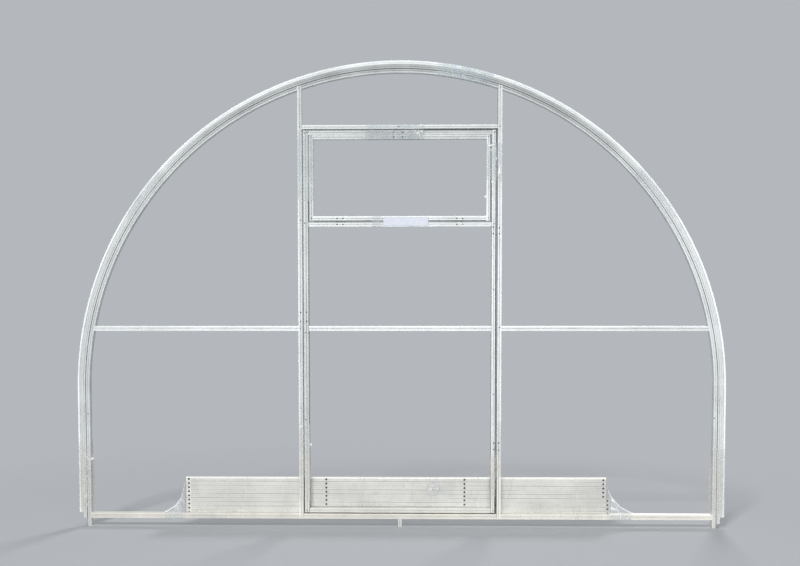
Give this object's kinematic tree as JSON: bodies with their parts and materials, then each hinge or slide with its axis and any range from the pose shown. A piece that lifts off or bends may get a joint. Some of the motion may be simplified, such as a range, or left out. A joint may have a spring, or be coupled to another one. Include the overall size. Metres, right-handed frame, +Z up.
{
  "type": "arched greenhouse end frame",
  "caption": "Arched aluminium end frame of a polytunnel greenhouse with a hinged door and tilting vent, spare hoops nested over its arch and purlins stacked behind.",
  "frame": {"origin": "middle of the sole of the centre foot, at ground level under the doorway", "axes": "+X across the frame to the viewer's right, +Y away from the front face, +Z up"},
  "size_m": [3, 0.0622, 2.146],
  "materials": {
    "hoop_aluminium": "satin mill finish",
    "bar_aluminium": "satin mill finish",
    "purlin_aluminium": "satin mill finish",
    "fitting_steel": "zinc plated"
  },
  "bodies": {
    "frame": {"outer_hoop_left": "hoop_aluminium", "outer_hoop_right": "hoop_aluminium", "middle_hoop_left": "hoop_aluminium", "middle_hoop_right": "hoop_aluminium", "frame_hoop_left": "hoop_aluminium", "frame_hoop_right": "hoop_aluminium", "bottom_rail": "bar_aluminium", "centre_foot": "bar_aluminium", "post_left": "bar_aluminium", "post_right": "bar_aluminium", "header": "bar_aluminium", "side_bar_left": "bar_aluminium", "side_bar_right": "bar_aluminium", "purlin_1": "purlin_aluminium", "purlin_2": "purlin_aluminium", "purlin_3": "purlin_aluminium", "purlin_4": "purlin_aluminium", "purlin_5": "purlin_aluminium", "purlin_6": "purlin_aluminium", "purlin_7": "purlin_aluminium", "purlin_8": "purlin_aluminium", "purlin_9": "purlin_aluminium", "upper_hinge_frame_half": "fitting_steel", "lower_hinge_frame_half": "fitting_steel", "latch_keeper": "fitting_steel"},
    "door": {"door_stile_left": "bar_aluminium", "door_stile_right": "bar_aluminium", "door_top_rail": "bar_aluminium", "door_mid_rail": "bar_aluminium", "door_crossbar": "bar_aluminium", "door_bottom_rail": "bar_aluminium", "vent_stile_left": "bar_aluminium", "vent_stile_right": "bar_aluminium", "vent_top_rail": "bar_aluminium", "vent_bottom_rail": "bar_aluminium", "upper_hinge_door_half": "fitting_steel", "lower_hinge_door_half": "fitting_steel", "vent_hinge_left": "fitting_steel", "vent_hinge_right": "fitting_steel", "vent_catch": "fitting_steel", "latch_case": "fitting_steel"}
  },
  "joints": [
    {"name": "door_hinge", "type": "hinge", "parent": "frame", "child": "door", "pos_m": [0.4455, -0.02, 0], "axis": [0, 0, 1], "range_deg": [0, 120]}
  ]
}
